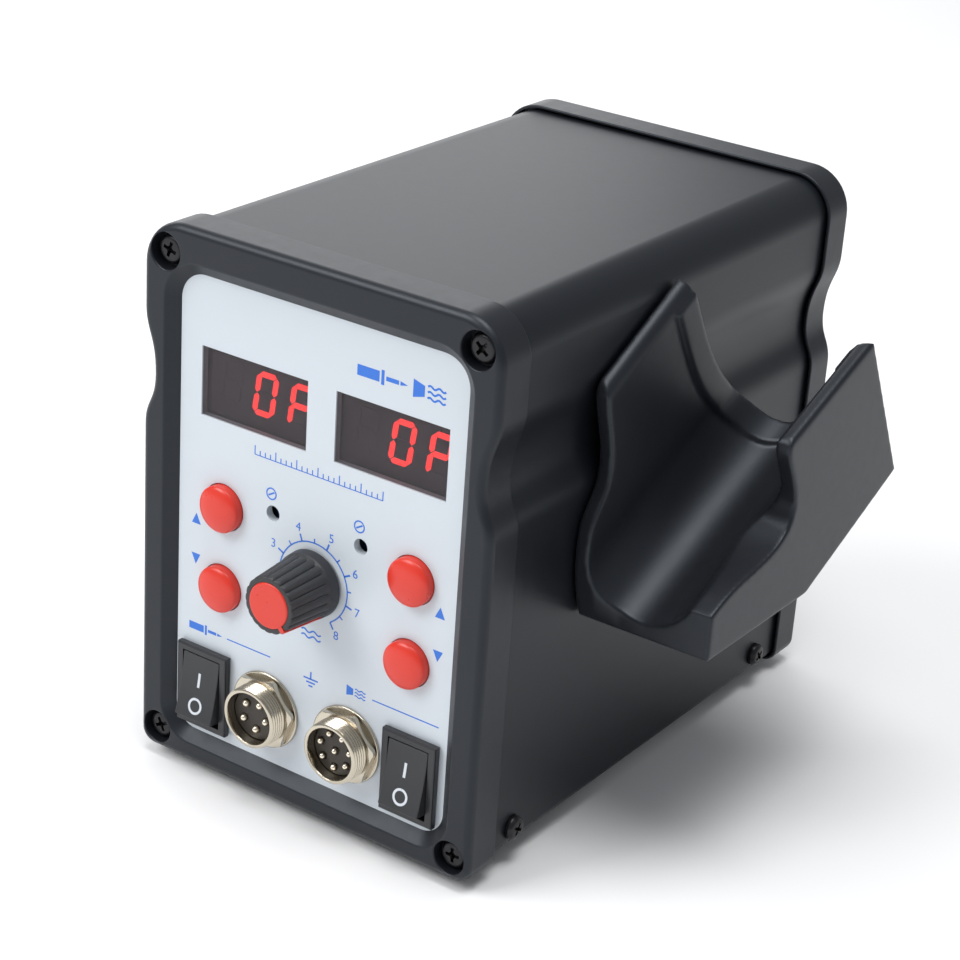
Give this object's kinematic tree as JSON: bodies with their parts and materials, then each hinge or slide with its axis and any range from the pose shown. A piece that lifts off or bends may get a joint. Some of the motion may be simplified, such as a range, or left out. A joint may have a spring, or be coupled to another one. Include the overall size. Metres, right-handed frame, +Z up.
{
  "type": "soldering station",
  "caption": "Bench soldering and hot-air rework station: waved case, pale front panel with displays, push buttons, dial knob, rockers and round sockets, and a gun cradle on its side.",
  "frame": {"origin": "centre of the bounding box's bottom face, on the surface that the rubber feet stand on", "axes": "+Z up, front panel facing -Y, +X towards the side with the gun cradle"},
  "size_m": [0.1324, 0.169, 0.1371],
  "materials": {
    "moulded_black": "satin, finely textured moulded plastic",
    "cover_paint": "satin black powder coat on folded sheet steel",
    "printed_panel": "smooth pale blue-grey printed overlay",
    "smoked_window": "polished smoked plastic",
    "display_black": "dull dark display face",
    "red_plastic": "polished orange-red plastic",
    "knob_black": "satin ribbed plastic",
    "switch_black": "semi-gloss plastic",
    "nickel": "bright nickel plate, fine thread",
    "socket_insert": "dull dark brown insulator",
    "contact_metal": "plated contact pins",
    "black_screw": "black-oxide steel",
    "zinc_steel": "zinc-plated steel",
    "foot_rubber": "dull black rubber",
    "circuit_board": "green solder mask",
    "trimmer_plastic": "moulded trimmer body",
    "trimmer_brass": "slotted brass rotor",
    "transformer_iron": "laminated core with a taped winding",
    "fitting_black": "satin moulded plastic"
  },
  "bodies": {
    "case": {"front_bezel": "moulded_black", "rear_bezel": "moulded_black", "cradle": "moulded_black", "cover": "cover_paint", "base_plate": "cover_paint", "rear_panel": "cover_paint", "front_panel": "printed_panel", "window_left": "smoked_window", "window_right": "smoked_window", "display_left": "display_black", "display_right": "display_black", "rocker_frame_left": "switch_black", "rocker_frame_right": "switch_black", "socket_left_shell": "nickel", "socket_right_shell": "nickel", "socket_left_nut": "nickel", "socket_right_nut": "nickel", "socket_left_insert": "socket_insert", "socket_right_insert": "socket_insert", "socket_left_pins": "contact_metal", "socket_right_pins": "contact_metal", "front_screw_top_left": "black_screw", "front_screw_top_right": "black_screw", "front_screw_bottom_left": "black_screw", "front_screw_bottom_right": "black_screw", "rear_screw_top_left": "black_screw", "rear_screw_top_right": "black_screw", "rear_screw_bottom_left": "black_screw", "rear_screw_bottom_right": "black_screw", "side_screw_front_left": "black_screw", "side_screw_front_right": "black_screw", "side_screw_rear_left": "black_screw", "side_screw_rear_right": "black_screw", "cradle_screw_1": "zinc_steel", "cradle_screw_2": "zinc_steel", "potentiometer": "zinc_steel", "foot_front_left": "foot_rubber", "foot_front_right": "foot_rubber", "foot_rear_left": "foot_rubber", "foot_rear_right": "foot_rubber", "display_board": "circuit_board", "main_board": "circuit_board", "trimmer_left": "trimmer_plastic", "trimmer_right": "trimmer_plastic", "transformer": "transformer_iron", "power_inlet": "fitting_black", "fuse_holder": "fitting_black"},
    "knob": {"knob_body": "knob_black", "knob_cap": "red_plastic", "pot_shaft": "zinc_steel"},
    "button_left_upper": {"button_left_upper": "red_plastic"},
    "button_left_lower": {"button_left_lower": "red_plastic"},
    "button_right_upper": {"button_right_upper": "red_plastic"},
    "button_right_lower": {"button_right_lower": "red_plastic"},
    "rocker_left": {"rocker_left": "switch_black"},
    "rocker_right": {"rocker_right": "switch_black"},
    "trimmer_rotor_left": {"trimmer_rotor_left": "trimmer_brass"},
    "trimmer_rotor_right": {"trimmer_rotor_right": "trimmer_brass"},
    "fuse_cap": {"fuse_cap": "fitting_black"}
  },
  "joints": [
    {"name": "knob_turn", "type": "hinge", "parent": "case", "child": "knob", "pos_m": [-0.01599, -0.0687, 0.0615], "axis": [0, -1, 0], "range_deg": [-7.5, 287.5]},
    {"name": "press_left_upper", "type": "slide", "parent": "case", "child": "button_left_upper", "axis": [0, 1, 0], "range_m": [0, 0.0012], "stiffness_N_per_m": 400, "springref_m": -0.001},
    {"name": "press_left_lower", "type": "slide", "parent": "case", "child": "button_left_lower", "axis": [0, 1, 0], "range_m": [0, 0.0012], "stiffness_N_per_m": 400, "springref_m": -0.001},
    {"name": "press_right_upper", "type": "slide", "parent": "case", "child": "button_right_upper", "axis": [0, 1, 0], "range_m": [0, 0.0012], "stiffness_N_per_m": 400, "springref_m": -0.001},
    {"name": "press_right_lower", "type": "slide", "parent": "case", "child": "button_right_lower", "axis": [0, 1, 0], "range_m": [0, 0.0012], "stiffness_N_per_m": 400, "springref_m": -0.001},
    {"name": "switch_left", "type": "hinge", "parent": "case", "child": "rocker_left", "pos_m": [-0.04699, -0.0682, 0.0232], "axis": [1, 0, 0], "range_deg": [0, 22]},
    {"name": "switch_right", "type": "hinge", "parent": "case", "child": "rocker_right", "pos_m": [0.01421, -0.0682, 0.0232], "axis": [1, 0, 0], "range_deg": [0, 22]},
    {"name": "trim_left", "type": "hinge", "parent": "case", "child": "trimmer_rotor_left", "pos_m": [-0.02819, -0.0637, 0.0747], "axis": [0, -1, 0], "range_deg": [-120, 120]},
    {"name": "trim_right", "type": "hinge", "parent": "case", "child": "trimmer_rotor_right", "pos_m": [-0.00309, -0.0637, 0.0747], "axis": [0, -1, 0], "range_deg": [-120, 120]},
    {"name": "fuse_turn", "type": "hinge", "parent": "case", "child": "fuse_cap", "pos_m": [-0.00039, 0.0813, 0.0366], "axis": [0, 1, 0], "range_deg": [0, 60]}
  ]
}
